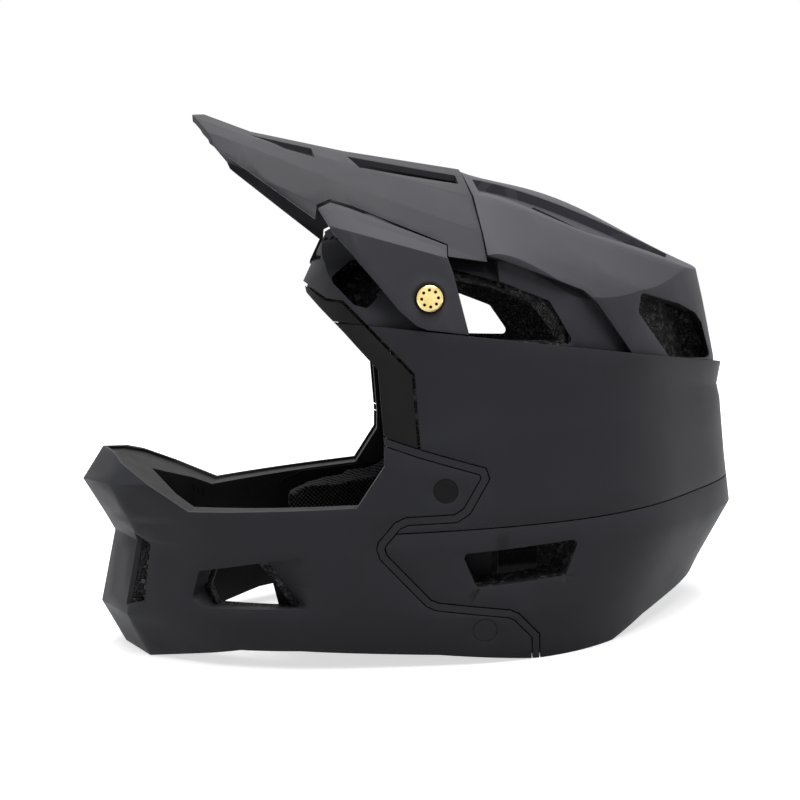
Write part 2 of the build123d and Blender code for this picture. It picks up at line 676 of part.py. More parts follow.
def eyeport_trim(skin):
    """The near trim along the eyeport, in two lengths that meet at the ledge's plane."""
    band = near_prism(BAND_SHARES, BAND_INNER_SHARE) - through_prism(EYEPORT_SHARES)
    band = band - through_prism(CHIN_BAR_SHARES, 2 * SEAM_GAP + STRIP_WIDTH)
    low = cut(skin & band, [dome_wall(LEDGE_LIP)]) & side_of_ledge(False, SEAM_GAP / 4)
    high = (dome_form(0) & band) & side_of_ledge(True, SEAM_GAP / 4)
    high = high - dome_form(SHELL_WALL)
    return list(low.solids()) + list(high.solids())


def side_split(solids):
    """Solids parted into the near and the far side."""
    near = [solid for solid in solids if solid.center().Y < 0]
    far = [solid for solid in solids if solid.center().Y >= 0]
    return near, far


def rod(x, z, radius, low_y, high_y):
    """A cylinder along Y."""
    place = Plane(origin=(x, low_y, z), z_dir=(0, 1, 0))
    return place * Solid.make_cylinder(radius, high_y - low_y)


def screw_axis():
    return SCREW_X_SHARE * HALF_LENGTH, SCREW_Z_SHARE * HEIGHT


def peak():
    """The peak's moulding, with its slots, open below."""
    shell = peak_form(0) - peak_form(PEAK_WALL)
    shell = shell & through_prism(PEAK_SIDE_SHARES)
    shell = shell & plan_prism(PEAK_PLAN_SHARES, 0, 2 * HEIGHT)
    for shares in PEAK_SLOT_PLAN_SHARES:
        slot = plan_prism([(x, -y) for x, y in shares], 0, 2 * HEIGHT)
        shell = cut(shell, [slot, mirrored(slot)])
    return shell


def peak_arm():
    """The near side arm, with its boss and the seat and hole of the thumb screw."""
    x, z = screw_axis()
    wall = peak_form(0) - peak_form(ARM_WALL)
    arm = wall & near_prism(ARM_SHARES, ARM_INNER_SHARE)
    seat = -(ARM_SEAT_SHARE * HALF_WIDTH)
    boss = rod(x, z, WASHER_RADIUS + ARM_BOSS_WALL, seat, -ARM_FACE_SHARE * HALF_WIDTH)
    arm = arm + boss
    arm = arm - rod(x, z, WASHER_RADIUS + SCREW_FIT, seat - OVERRUN, seat)
    return arm - rod(x, z, SCREW_SHANK_RADIUS + SCREW_FIT, seat - OVERRUN, 0)


def washer():
    x, z = screw_axis()
    seat = -(ARM_SEAT_SHARE * HALF_WIDTH)
    ring = rod(x, z, WASHER_RADIUS, seat - WASHER_HEIGHT, seat)
    return ring - rod(x, z, SCREW_SHANK_RADIUS + SCREW_FIT, seat - OVERRUN, 0)


def screw():
    """The thumb screw: a drilled round head and its shank."""
    x, z = screw_axis()
    top = -(ARM_SEAT_SHARE * HALF_WIDTH) - WASHER_HEIGHT
    head = rod(x, z, SCREW_HEAD_RADIUS, top - SCREW_HEAD_HEIGHT, top)
    rim = head.edges().filter_by(GeomType.CIRCLE).sort_by(Axis.Y)[0]
    head = head.chamfer(SCREW_HEAD_HEIGHT / 4, None, [rim])
    for i in range(SCREW_HOLE_COUNT):
        turn = 2 * math.pi * i / SCREW_HOLE_COUNT
        hole_x = x + SCREW_HOLE_CIRCLE * math.cos(turn)
        hole_z = z + SCREW_HOLE_CIRCLE * math.sin(turn)
        depth = SCREW_HEAD_HEIGHT * 2 / 3
        head = head - rod(hole_x, hole_z, SCREW_HOLE_RADIUS, top - OVERRUN,
                          top - SCREW_HEAD_HEIGHT + depth)
    return head + rod(x, z, SCREW_SHANK_RADIUS, top, -INSERT_END_SHARE * HALF_WIDTH)


def insert_space(gap):
    """The room that the threaded insert takes, grown by a gap."""
    x, z = screw_axis()
    end = -INSERT_END_SHARE * HALF_WIDTH
    barrel = rod(x, z, INSERT_RADIUS + gap, -ARM_FACE_SHARE * HALF_WIDTH + SCREW_FIT - gap,
                 end + gap)
    flange = rod(x, z, INSERT_RADIUS + INSERT_FLANGE + gap, end - INSERT_HEIGHT - gap, end + gap)
    return barrel + flange


def insert():
    x, z = screw_axis()
    return insert_space(0) - rod(x, z, SCREW_SHANK_RADIUS + SCREW_FIT, -WIDTH, 0)


def plug_spot(shares):
    return shares[0] * HALF_LENGTH, shares[1] * HEIGHT


def plug(shares, gap=0):
    """A round plug set into the chin bar's wall, or its hole grown by a gap."""
    x, z = plug_spot(shares)
    outer = HALF_WIDTH + OVERRUN
    core = rod(x, z, PLUG_RADIUS + gap, -outer, -HALF_WIDTH / 2)
    if gap:
        return core
    return (body_form(0) - body_form(PLUG_HEIGHT)) & core


def bolt(shares, gap=0):
    """The chin bar's bolt behind a plug, or the room that it takes in the foam."""
    x, z = plug_spot(shares)
    seat = plug(shares).bounding_box().max.Y + BOLT_GAP
    head = rod(x, z, BOLT_HEAD_RADIUS + gap, seat, seat + BOLT_HEAD_HEIGHT + gap)
    shank = rod(x, z, BOLT_RADIUS + gap, seat, seat + BOLT_LENGTH + gap)
    return head + shank


def crown_foam(room):
    """The upper foam liner, under the crown shell."""
    inset = SHELL_WALL + FOAM_GAP
    foam = recessed_dome(inset) - room
    foam = foam & side_of_ledge(True, -inset)
    ledge = side_of_ledge(False, -LEDGE_GAP) - dome_wall(LEDGE_LIP + FOAM_GAP)
    foam = cut(foam, [ledge, through_prism(EYEPORT_SHARES, RIM_GAP)] + crown_ducts())
    foam = cut(foam, roof_vents() + foam_pockets())
    near = insert_space(FOAM_GAP)
    return cut(foam, [near, mirrored(near)])


def side_foam(room):
    """The lower foam liner, behind the chin bar's foam."""
    inset = SHELL_WALL + FOAM_GAP
    foam = body_form(inset) - room
    start = CHIN_FOAM_END_SHARE * HALF_LENGTH
    far = LENGTH
    foam = foam & block((start + SEAM_GAP, -far, -far), (far, far, far))
    foam = foam & side_of_ledge(False, SEAM_GAP / 2 + inset)
    low = [through_prism(EYEPORT_SHARES, RIM_GAP), through_prism(BOTTOM_SHARES, RIM_GAP)]
    return cut(foam, low + low_ducts())


def chin_core(gap):
    """The chin bar's filling before its room is cut: the foam, or with its skin."""
    core = body_form(SHELL_WALL + FOAM_GAP)
    far = LENGTH
    core = core & block((-far, -far, -far), (CHIN_FOAM_END_SHARE * HALF_LENGTH, far, far))
    return cut(core, [through_prism(EYEPORT_SHARES, gap), through_prism(BOTTOM_SHARES, gap)])


def chin_foam():
    core = chin_core(RIM_GAP + SKIN_WALL + FOAM_GAP) - head_room(-SKIN_WALL - FOAM_GAP)
    return cut(core, chin_ducts() + scoop_rooms())


def chin_liner(room):
    """The moulded inner skin of the chin bar, with a rim over the foam above and below."""
    skin = chin_core(RIM_GAP) - room
    inner = chin_core(RIM_GAP + SKIN_WALL) - head_room(-SKIN_WALL)
    return cut(skin - inner, chin_ducts())


def room_ring(first, last):
    """The wall between two insets of the head room."""
    return head_room(first) - head_room(last)


def cheek_pad():
    """The near cheek pad, with rounded corners and sides that draw in towards the cheek."""
    ring = room_ring(PAD_GAP + PLATE_WALL + FOAM_GAP, CHEEK_PAD_THICKNESS)
    stages = ((1, 0), (CHEEK_SHOULDER_SHARE, 0), (CHEEK_FACE_SHARE, CHEEK_PAD_BEVEL),
              (PAD_INNER_SHARE, CHEEK_PAD_BEVEL))
    wires = []
    for out, bevel in stages:
        wire = side_wire(CHEEK_PAD_SHARES, -out * HALF_WIDTH, CHEEK_PAD_CORNER)
        wires.append(wire.offset_2d(-bevel, kind=Kind.INTERSECTION) if bevel else wire)
    return ring & Solid.make_loft(wires, ruled=True)


def cheek_plate():
    ring = room_ring(PAD_GAP, PAD_GAP + PLATE_WALL)
    return ring & near_prism(CHEEK_PAD_SHARES, PAD_INNER_SHARE, -PLATE_WALL, CHEEK_PAD_CORNER)


def comfort_pads():
    """The crown, brow and rear pads, from one ring inside the foam."""
    ring = room_ring(PAD_GAP, COMFORT_PAD_THICKNESS)
    far = LENGTH
    outline = list(CROWN_PAD_SHARES) + [(x, -y) for x, y in reversed(CROWN_PAD_SHARES)]
    crown = ring & plan_prism(outline, CROWN_PAD_LOW_SHARE * HEIGHT, HEIGHT)
    brow = ring & block((-far, -far, BROW_PAD_LOW_SHARE * HEIGHT),
                        (BROW_PAD_END_SHARE * HALF_LENGTH - SEAM_GAP, far,
                         BROW_PAD_HIGH_SHARE * HEIGHT))
    rear = ring & block((REAR_PAD_START_SHARE * HALF_LENGTH, -far, REAR_PAD_LOW_SHARE * HEIGHT),
                        (far, far, REAR_PAD_HIGH_SHARE * HEIGHT))
    return crown, brow, rear


def strap_rivet_place():
    """Axis of the strap's rivet, and the middle of the webbing that it holds."""
    out, up = STRAP_SHARES[0]
    return STRAP_X_SHARE * HALF_LENGTH, out * HALF_WIDTH, up * HEIGHT - RIVET_DROP


def strap():
    """The near half of the chin strap: flat webbing down from its anchor and in to the buckle."""
    x = STRAP_X_SHARE * HALF_LENGTH - WEB_WIDTH / 2
    points = [(x, y * HALF_WIDTH, z * HEIGHT) for y, z in STRAP_SHARES]
    line = FilletPolyline(*points, radius=STRAP_BEND)
    outline = line.wire().offset_2d(WEB_THICKNESS / 2)
    web = Solid.extrude(Face(outline), Vector(WEB_WIDTH, 0, 0))
    x, y, z = strap_rivet_place()
    return web - rod(x, z, RIVET_SHANK_RADIUS + SCREW_FIT, y - OVERRUN, y + OVERRUN)


def strap_barrel(gap):
    """The part of the strap's rivet that stands in the foam, grown by a gap."""
    x, y, z = strap_rivet_place()
    face = y - WEB_THICKNESS / 2
    return rod(x, z, RIVET_BARREL_RADIUS + gap, face - RIVET_BARREL_LENGTH - gap, face)


def strap_rivet():
    """The rivet that holds the webbing between its head and its barrel."""
    x, y, z = strap_rivet_place()
    face = y + WEB_THICKNESS / 2
    head = rod(x, z, RIVET_HEAD_RADIUS, face, face + RIVET_HEAD_HEIGHT)
    rim = head.edges().filter_by(GeomType.CIRCLE).sort_by(Axis.Y)[-1]
    head = head.chamfer(RIVET_HEAD_HEIGHT / 2, None, [rim])
    return head + rod(x, z, RIVET_SHANK_RADIUS, face - WEB_THICKNESS, face) + strap_barrel(0)


def buckle_half(low_y, high_y):
    """A rounded half of the buckle's body, lying on the webbing's level."""
    x = STRAP_X_SHARE * HALF_LENGTH
    z = STRAP_SHARES[-1][1] * HEIGHT
    half, height = BUCKLE_WIDTH / 2, BUCKLE_HEIGHT / 2
    body = block((x - half, low_y, z - height), (x + half, high_y, z + height))
    return body.fillet(BUCKLE_CORNER, body.edges().filter_by(Axis.Y))


def web_pocket(side):
    """The slot in a buckle half that takes the webbing's end. The near half's side is -1."""
    x = STRAP_X_SHARE * HALF_LENGTH
    z = STRAP_SHARES[-1][1] * HEIGHT
    half, height = WEB_WIDTH / 2 + BUCKLE_GAP, WEB_THICKNESS / 2 + BUCKLE_GAP
    end = BUCKLE_LENGTH / 2 - WEB_TUCK - WEB_THICKNESS / 2 - BUCKLE_GAP
    near, far = sorted((side * WIDTH, side * end))
    return block((x - half, near, z - height), (x + half, far, z + height))


def buckle_cavity(gap):
    """The socket's room for the prongs, with its side windows, shrunk by a gap."""
    x = STRAP_X_SHARE * HALF_LENGTH
    z = STRAP_SHARES[-1][1] * HEIGHT
    half = BUCKLE_WIDTH / 2 - BUCKLE_WALL - gap
    height = BUCKLE_HEIGHT / 2 - BUCKLE_WALL - gap
    start = BUCKLE_SPLIT - PRONG_REACH
    return block((x - half, start - BUCKLE_GAP + gap, z - height), (x + half, WIDTH, z + height))


def buckle_socket():
    x = STRAP_X_SHARE * HALF_LENGTH
    z = STRAP_SHARES[-1][1] * HEIGHT
    body = buckle_half(-BUCKLE_LENGTH / 2, BUCKLE_SPLIT) - buckle_cavity(0)
    height = BUCKLE_HEIGHT / 2 - BUCKLE_WALL
    start = BUCKLE_SPLIT - PRONG_REACH
    window = block((x - WIDTH, start, z - height), (x + WIDTH, start + PRONG_REACH / 2, z + height))
    return cut(body, [window, web_pocket(-1)])


def buckle_tongue():
    """The buckle's plug: a bar with a middle guide and two barbed prongs."""
    x = STRAP_X_SHARE * HALF_LENGTH
    z = STRAP_SHARES[-1][1] * HEIGHT
    bar = buckle_half(BUCKLE_SPLIT + BUCKLE_GAP, BUCKLE_LENGTH / 2) - web_pocket(1)
    half = BUCKLE_WIDTH / 2 - BUCKLE_WALL - BUCKLE_GAP
    tip = BUCKLE_SPLIT - PRONG_REACH + BUCKLE_GAP
    root = BUCKLE_SPLIT + BUCKLE_GAP + BUCKLE_CORNER
    barb = BUCKLE_WIDTH / 2 - BUCKLE_GAP
    outline = [(half - PRONG_WIDTH, root), (half - PRONG_WIDTH, tip), (half, tip),
               (barb, tip + PRONG_REACH / 2 - BUCKLE_GAP), (half, tip + PRONG_REACH / 2 - BUCKLE_GAP),
               (half, root)]
    height = BUCKLE_HEIGHT / 2 - BUCKLE_WALL - BUCKLE_GAP
    for side in (-1, 1):
        points = [Vector(x + side * out, y, z - height) for out, y in outline]
        face = Face(Wire.make_polygon(points, close=True))
        bar = bar + Solid.extrude(face, Vector(0, 0, 2 * height))
    guide = block((x - PRONG_WIDTH / 2, tip, z - height), (x + PRONG_WIDTH / 2, root, z + height))
    return bar + guide


def save(name, shape):
    solids = shape if isinstance(shape, list) else list(shape.solids())
    group = solids[0] if len(solids) == 1 else Compound(children=solids)
    export_step(group, os.path.join("parts", name + ".step"))
    print(name, len(solids), all(s.is_valid for s in solids), round(sum(s.volume for s in solids)))


def save_pair(name, near):
    """Write a near side shape as the left piece and its mirror image as the right one."""
    save(name + "_left", near)
    save(name + "_right", mirrored(near))


def main():
    os.makedirs("parts", exist_ok=True)
    room = head_room(0)
    skin = outer_skin()
    upper, lower = UPPER_PLUG_SHARES, LOWER_PLUG_SHARES
    holes = [plug(upper, SCREW_FIT), plug(lower, SCREW_FIT)]
    holes += [mirrored(hole) for hole in holes]
    save("peak", peak())
    save_pair("peak_arm", peak_arm())
    save_pair("peak_washer", washer())
    save_pair("peak_screw", screw())
    save_pair("peak_insert", insert())
    save("side_shell", side_shell(skin))
    save("lower_shell", lower_shell(skin))
    save("chin_bar", cut(chin_bar(skin), holes))
    save_pair("front_mesh", front_mesh())
    near, far = side_split(chin_strips(skin).solids())
    save("chin_strip_left", near)
    save("chin_strip_right", far)
    trim = eyeport_trim(skin)
    save("eyeport_trim_left", trim)
    save("eyeport_trim_right", [mirrored(solid) for solid in trim])
    near = insert_space(SCREW_FIT)
    save("crown_shell", cut(crown_shell(), [near, mirrored(near)]))
    save("upper_plugs", [*plug(upper).solids(), *mirrored(plug(upper)).solids()])
    save("lower_plugs", [*plug(lower).solids(), *mirrored(plug(lower)).solids()])
    save("chin_bolts", both_sides([bolt(upper), bolt(lower)]))
    save("crown_foam", crown_foam(room))
    rooms = [strap_barrel(FOAM_GAP), bolt(upper, FOAM_GAP), bolt(lower, FOAM_GAP)]
    save("side_foam", cut(side_foam(room), both_sides(rooms)))
    save("chin_foam", chin_foam())
    save("chin_liner", chin_liner(room))
    save_pair("cheek_pad", cheek_pad())
    save_pair("cheek_plate", cheek_plate())
    crown, brow, rear = comfort_pads()
    save("crown_pad", crown)
    save("brow_pad", brow)
    save("rear_pad", rear)
    save_pair("chin_strap", strap())
    save_pair("strap_rivet", strap_rivet())
    save("buckle_socket", buckle_socket())
    save("buckle_tongue", buckle_tongue())


if __name__ == "__main__":
    main()
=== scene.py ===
import bpy
import json
import math
from mathutils import Matrix, Vector
from mathutils.bvhtree import BVHTree


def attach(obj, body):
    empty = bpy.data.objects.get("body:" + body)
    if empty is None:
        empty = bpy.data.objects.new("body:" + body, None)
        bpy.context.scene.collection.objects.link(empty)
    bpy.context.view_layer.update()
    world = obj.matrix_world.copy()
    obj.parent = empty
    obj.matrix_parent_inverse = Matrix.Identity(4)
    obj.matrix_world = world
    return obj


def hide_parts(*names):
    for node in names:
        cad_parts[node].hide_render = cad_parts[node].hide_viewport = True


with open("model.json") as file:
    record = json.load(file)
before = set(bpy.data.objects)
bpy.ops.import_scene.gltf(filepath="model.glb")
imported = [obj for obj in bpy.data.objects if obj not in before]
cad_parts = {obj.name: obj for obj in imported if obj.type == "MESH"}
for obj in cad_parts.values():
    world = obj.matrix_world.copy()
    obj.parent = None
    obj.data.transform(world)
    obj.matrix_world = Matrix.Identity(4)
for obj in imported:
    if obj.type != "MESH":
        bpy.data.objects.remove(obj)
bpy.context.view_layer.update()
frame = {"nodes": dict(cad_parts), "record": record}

NODES = frame["nodes"]
MM = 0.001

# Camera of the photograph, in the row frame. The helmet in the photograph is pitched 4.5 degrees
# nose down from the way it rests, so the camera is rolled by as much.
CAMERA_PLACE = (-0.02726, -0.63590, 0.17333)
CAMERA_RIGHT = (0.99581, -0.04709, -0.07837)
CAMERA_UP = (0.08183, 0.07674, 0.99369)
CAMERA_LENS = 51.4
CAMERA_SENSOR = 36
CAMERA_CLIP = 0.02

# Lights: name, place, width of the disk and power in watts
LIGHTS = (("key", (0.15, -0.75, 1.75), 1.2, 21), ("top", (0.35, 0.25, 2.0), 1.5, 36))
LIGHT_TARGET = (0, 0, 0.15)
SKY_COLOUR = (0.92, 0.95, 1.0, 1)
SKY_STRENGTH = 0.26
FLOOR_RADIUS = 4
FLOOR_SIDES = 96
FLOOR_PAPER = (0.8, 0.8, 0.8, 1)
FLOOR_SHADE = (0.3, 0.3, 0.3, 1)
# The floor's own light below the helmet and one metre away from it
GLOW_MIDDLE, GLOW_OUT = 0.6, 1.0

# Grain of the materials, per metre
BEADS_PER_METRE = 420
KNOTS_PER_METRE = 560
BORDER_RIBS_PER_METRE = 150
WEB_RIBS_PER_METRE = 260
PAINT_TINT = 0.14

# Mouldings' rounded edges, in millimetres
EDGE_WIDTHS = {"crown_shell": 0.8, "side_shell": 0.7, "lower_shell": 0.7, "chin_bar": 1.4,
               "peak": 0.8, "peak_arm_left": 1.8, "peak_arm_right": 1.8,
               "eyeport_trim_left": 0.5, "eyeport_trim_right": 0.5, "chin_liner": 0.4}
EDGE_ANGLE = 28
WELD_REACH = 0.02

# Pads: how squarely a point must look away from the head to be held or freed, the cloth's run,
# and where the sewn seam lies on the turn from face to border
HEAD_CENTRE = Vector((0.02, 0.0, 0.13))
FREE_BELOW, HELD_ABOVE = -0.1, 0.55
HELD_FREEDOM = 0.05
CLOTH_FRAMES = 20
CLOTH_PRESSURE = 4
SEAM_INNER, SEAM_OUTER = 0.86, 0.66

# The chin strap's webbing, in the view from the front: from its anchor to the buckle
STRAP_PLACES = ((-83.6, 74.9), (-83.6, 32.9), (-61.6, 16.0), (-14.2, 16.0))
STRAP_BEND = 16
STRAP_PITCH = 1.5
STRAP_X = 48.96
WEB_WIDTH = 20
WEB_THICKNESS = 1.6
# Its section: shares of the half width, and of the half thickness there
WEB_SHARES = ((-1, 0.3), (-0.96, 1), (-0.88, 0.85), (-0.5, 0.8), (0, 0.85),
              (0.5, 0.8), (0.88, 0.85), (0.96, 1), (1, 0.3))

# Stitches of the webbing's box seams. The seams start so many points of the path from the rivet
# and from the buckle, clear of both.
STITCH_PATH_PITCH = 0.5
STITCH_PITCH = 2.6
STITCH_LENGTH = 1.9
STITCH_WIDTH = 0.44
STITCH_RISE = 0.25
STITCH_LIFT = 0.05
BOX_RUN = 14
BOX_HALF = 7.5
BOX_FROM_RIVET = 34
BOX_FROM_BUCKLE = 70
CROSS_STITCHES = 5

# Ribs of the brow's grille, across the crown shell's front slope under the peak
RIB_HEIGHTS = (201, 212)
RIB_REACH = 62
RIB_PITCH = 4
RIB_WIDTH = 1.7
RIB_RISE = 1.3
RIB_LONGEST = 30
FAR_FRONT = -120

# Clusters of small slots just below the rim of the chin bar's inner skin, each drawn as a
# near-black box: painted shade for its opening
SLOT_PLACES = (-146, -122, -98, -62)
SLOTS = 3
SLOT_PITCH = 2.4
SLOT_SIZE = (0.5, 0.25, 1.8)
SLOT_DROP = 4.5
SKIN_TOP, SKIN_BOTTOM = 130, 30

# The thumb screws' drilled holes, and the painted shade in them: a dark disc low in each hole
SCREW_X, SCREW_Z = 11.88, 176.46
SCREW_FACE = 107.97
HOLES = 8
HOLE_CIRCLE = 3.9
HOLE_RADIUS = 0.72
HOLE_SHADE_DROP = 0.25
HOLE_SHADE_DEPTH = 0.6
HOLE_SHADE_SIDES = 16

EIGHTH_TURN = math.pi / 4


def add_camera():
    data = bpy.data.cameras.new("camera")
    data.lens = CAMERA_LENS
    data.sensor_width = CAMERA_SENSOR
    data.clip_start = CAMERA_CLIP
    camera = bpy.data.objects.new("camera", data)
    right, up = Vector(CAMERA_RIGHT).normalized(), Vector(CAMERA_UP)
    back = right.cross(up).normalized()
    up = back.cross(right)
    turn = Matrix((right, up, back)).transposed().to_4x4()
    camera.matrix_world = Matrix.Translation(CAMERA_PLACE) @ turn
    bpy.context.scene.collection.objects.link(camera)
    bpy.context.scene.camera = camera


def add_light(name, place, width, power):
    data = bpy.data.lights.new(name, "AREA")
    data.shape = "DISK"
    data.size = width
    data.energy = power
    lamp = bpy.data.objects.new(name, data)
    lamp.location = place
    look = Vector(LIGHT_TARGET) - Vector(place)
    lamp.rotation_euler = look.to_track_quat("-Z", "Y").to_euler()
    bpy.context.scene.collection.objects.link(lamp)


def new_material(name):
    material = bpy.data.materials.new(name)
    material.use_nodes = True
    tree = material.node_tree
    return material, tree, tree.nodes["Principled BSDF"]


def add_node(tree, kind, **values):
    """A shader node, with values for its properties or else for its sockets."""
    node = tree.nodes.new(kind)
    for key, value in values.items():
        if hasattr(node, key):
            setattr(node, key, value)
        else:
            node.inputs[key].default_value = value
    return node


def object_coordinates(tree, scale=(1, 1, 1), turn=(0, 0, 0)):
    coordinates = add_node(tree, "ShaderNodeTexCoord")
    mapping = add_node(tree, "ShaderNodeMapping", Scale=scale, Rotation=turn)
    tree.links.new(coordinates.outputs["Object"], mapping.inputs["Vector"])
    return mapping.outputs["Vector"]


def noise(tree, vector, scale, detail=2, roughness=0.5):
    node = add_node(tree, "ShaderNodeTexNoise", Scale=scale, Detail=detail, Roughness=roughness)
    tree.links.new(vector, node.inputs["Vector"])
    return node.outputs["Fac"]


def ramp(tree, value, stops):
    node = add_node(tree, "ShaderNodeValToRGB")
    elements = node.color_ramp.elements
    for i, (place, colour) in enumerate(stops):
        element = elements[i] if i < 2 else elements.new(place)
        element.position = place
        element.color = (*colour, 1)
    tree.links.new(value, node.inputs["Fac"])
    return node.outputs["Color"]


def spread(tree, value, low, high):
    node = add_node(tree, "ShaderNodeMapRange")
    node.inputs["To Min"].default_value = low
    node.inputs["To Max"].default_value = high
    tree.links.new(value, node.inputs["Value"])
    return node.outputs["Result"]


def add_bump(tree, shader, height, strength, distance, before=None):
    node = add_node(tree, "ShaderNodeBump", Strength=strength, Distance=distance)
    tree.links.new(height, node.inputs["Height"])
    if before is not None:
        tree.links.new(before, node.inputs["Normal"])
    tree.links.new(node.outputs["Normal"], shader.inputs["Normal"])
    return node.outputs["Normal"]


def grey(level, tint=0.03):
    return (level, level, level * (1 + tint))


def unlit_rays(tree):
    """1 for rays that show the background: the camera's, and those off gloss or through glass."""
    path = add_node(tree, "ShaderNodeLightPath")
    total = path.outputs["Is Camera Ray"]
    for name in ("Is Glossy Ray", "Is Transmission Ray"):
        larger = add_node(tree, "ShaderNodeMath", operation="MAXIMUM")
        tree.links.new(total, larger.inputs[0])
        tree.links.new(path.outputs[name], larger.inputs[1])
        total = larger.outputs["Value"]
    return total


def paint(name, dark, light, rough):
    """Matt paint over a moulding: a fine orange peel, faint mottling and an uneven sheen."""
    material, tree, shader = new_material(name)
    shader.inputs["Specular IOR Level"].default_value = 0.06
    vector = object_coordinates(tree)
    mottle = noise(tree, vector, scale=14, detail=4, roughness=0.6)
    tone = ramp(tree, mottle, [(0.3, grey(dark, PAINT_TINT)), (0.7, grey(light, PAINT_TINT))])
    tree.links.new(tone, shader.inputs["Base Color"])
    uneven = noise(tree, vector, scale=60, detail=3)
    tree.links.new(spread(tree, uneven, rough - 0.05, rough + 0.05), shader.inputs["Roughness"])
    peel = add_bump(tree, shader, noise(tree, vector, scale=1400), strength=0.10, distance=0.0002)
    ripple = noise(tree, vector, scale=240, detail=1)
    add_bump(tree, shader, ripple, strength=0.04, distance=0.0006, before=peel)
    return material


def foam(name):
    """Expanded foam: packed beads with dark seams, each bead a little lighter or darker."""
    material, tree, shader = new_material(name)
    vector = object_coordinates(tree)
    beads = add_node(tree, "ShaderNodeTexVoronoi", Scale=BEADS_PER_METRE)
    edges = add_node(tree, "ShaderNodeTexVoronoi", feature="DISTANCE_TO_EDGE",
                     Scale=BEADS_PER_METRE)
    for cells in (beads, edges):
        tree.links.new(vector, cells.inputs["Vector"])
    tone = ramp(tree, beads.outputs["Color"],
                [(0.15, grey(0.010)), (0.70, grey(0.036)), (0.78, grey(0.11))])
    tree.links.new(tone, shader.inputs["Base Color"])
    shader.inputs["Specular IOR Level"].default_value = 0.1
    shader.inputs["Roughness"].default_value = 0.5
    seam = ramp(tree, edges.outputs["Distance"], [(0.0, (0, 0, 0)), (0.20, (1, 1, 1))])
    add_bump(tree, shader, seam, strength=0.7, distance=0.0009)
    return material


def plastic(name, level, rough, grain=900, depth=0.0002):
    """Moulded plastic with a fine spark-eroded grain."""
    material, tree, shader = new_material(name)
    shader.inputs["Specular IOR Level"].default_value = 0.08
    vector = object_coordinates(tree)
    tone = ramp(tree, noise(tree, vector, scale=30, detail=3),
                [(0.3, grey(level * 0.85)), (0.7, grey(level * 1.15))])
    tree.links.new(tone, shader.inputs["Base Color"])
    uneven = noise(tree, vector, scale=90)
    tree.links.new(spread(tree, uneven, rough - 0.06, rough + 0.06), shader.inputs["Roughness"])
    add_bump(tree, shader, noise(tree, vector, grain), strength=0.25, distance=depth)
    return material


def metal(name, colour, rough):
    """Plain or anodised metal with faint patches and a fine grain."""
    material, tree, shader = new_material(name)
    shader.inputs["Metallic"].default_value = 1
    vector = object_coordinates(tree)
    dark = tuple(c * 0.8 for c in colour)
    tone = ramp(tree, noise(tree, vector, scale=160, detail=3), [(0.3, dark), (0.75, colour)])
    tree.links.new(tone, shader.inputs["Base Color"])
    uneven = noise(tree, vector, scale=500)
    tree.links.new(spread(tree, uneven, rough - 0.08, rough + 0.08), shader.inputs["Roughness"])
    add_bump(tree, shader, noise(tree, vector, scale=1500), strength=0.1, distance=0.0001)
    return material


def surface_turn(tree, axis):
    """How squarely the surface faces along an axis of the object: 1 along it, 0 across it."""
    coordinates = add_node(tree, "ShaderNodeTexCoord")
    parts = add_node(tree, "ShaderNodeSeparateXYZ")
    tree.links.new(coordinates.outputs["Normal"], parts.inputs["Vector"])
    size = add_node(tree, "ShaderNodeMath", operation="ABSOLUTE")
    tree.links.new(parts.outputs[axis], size.inputs[0])
    return size.outputs["Value"]


def mesh_fabric(name, level, axis):
    """Spacer mesh: yarn knots in a staggered grid over a dark ground on the pad's face, their
    light colour a painted glint off the yarn, and the ribbed band of its border. The grid is laid
    along the axis that the pad's face looks."""
    material, tree, shader = new_material(name)
    flat = {"X": (0, 1, 1), "Y": (1, 0, 1), "Z": (1, 1, 0)}[axis]
    turn = {"X": (EIGHTH_TURN, 0, 0), "Y": (0, EIGHTH_TURN, 0), "Z": (0, 0, EIGHTH_TURN)}[axis]
    cells = add_node(tree, "ShaderNodeTexVoronoi", Scale=KNOTS_PER_METRE, Randomness=0.12)
    tree.links.new(object_coordinates(tree, flat, turn), cells.inputs["Vector"])
    # The knots: the mesh's own grid; their light colour below is a painted glint off the yarn
    knot_and_glint = ramp(tree, cells.outputs["Distance"], [(0.22, (1, 1, 1)), (0.40, (0, 0, 0))])
    wave = add_node(tree, "ShaderNodeTexWave", bands_direction="DIAGONAL",
                    Scale=BORDER_RIBS_PER_METRE, Distortion=0.8)
    tree.links.new(object_coordinates(tree), wave.inputs["Vector"])
    face = ramp(tree, surface_turn(tree, axis), [(0.80, (0, 0, 0)), (0.90, (1, 1, 1))])
    both = add_node(tree, "ShaderNodeMix", data_type="FLOAT")
    tree.links.new(face, both.inputs["Factor"])
    tree.links.new(wave.outputs["Fac"], both.inputs["A"])
    tree.links.new(knot_and_glint, both.inputs["B"])
    relief_and_glint = both.outputs["Result"]
    # Colour from the relief: the light knots are a painted glint; the border's ribs are the
    # fabric's own pattern
    tone = ramp(tree, relief_and_glint, [(0.15, grey(level * 0.2)), (0.9, grey(level * 3.6))])
    tree.links.new(tone, shader.inputs["Base Color"])
    shader.inputs["Roughness"].default_value = 0.8
    shader.inputs["Specular IOR Level"].default_value = 0.06
    shader.inputs["Sheen Weight"].default_value = 0.08
    shader.inputs["Sheen Roughness"].default_value = 0.5
    knit = add_bump(tree, shader, noise(tree, object_coordinates(tree), scale=2200),
                    strength=0.25, distance=0.0002)
    add_bump(tree, shader, relief_and_glint, strength=0.6, distance=0.0006, before=knit)
    return material


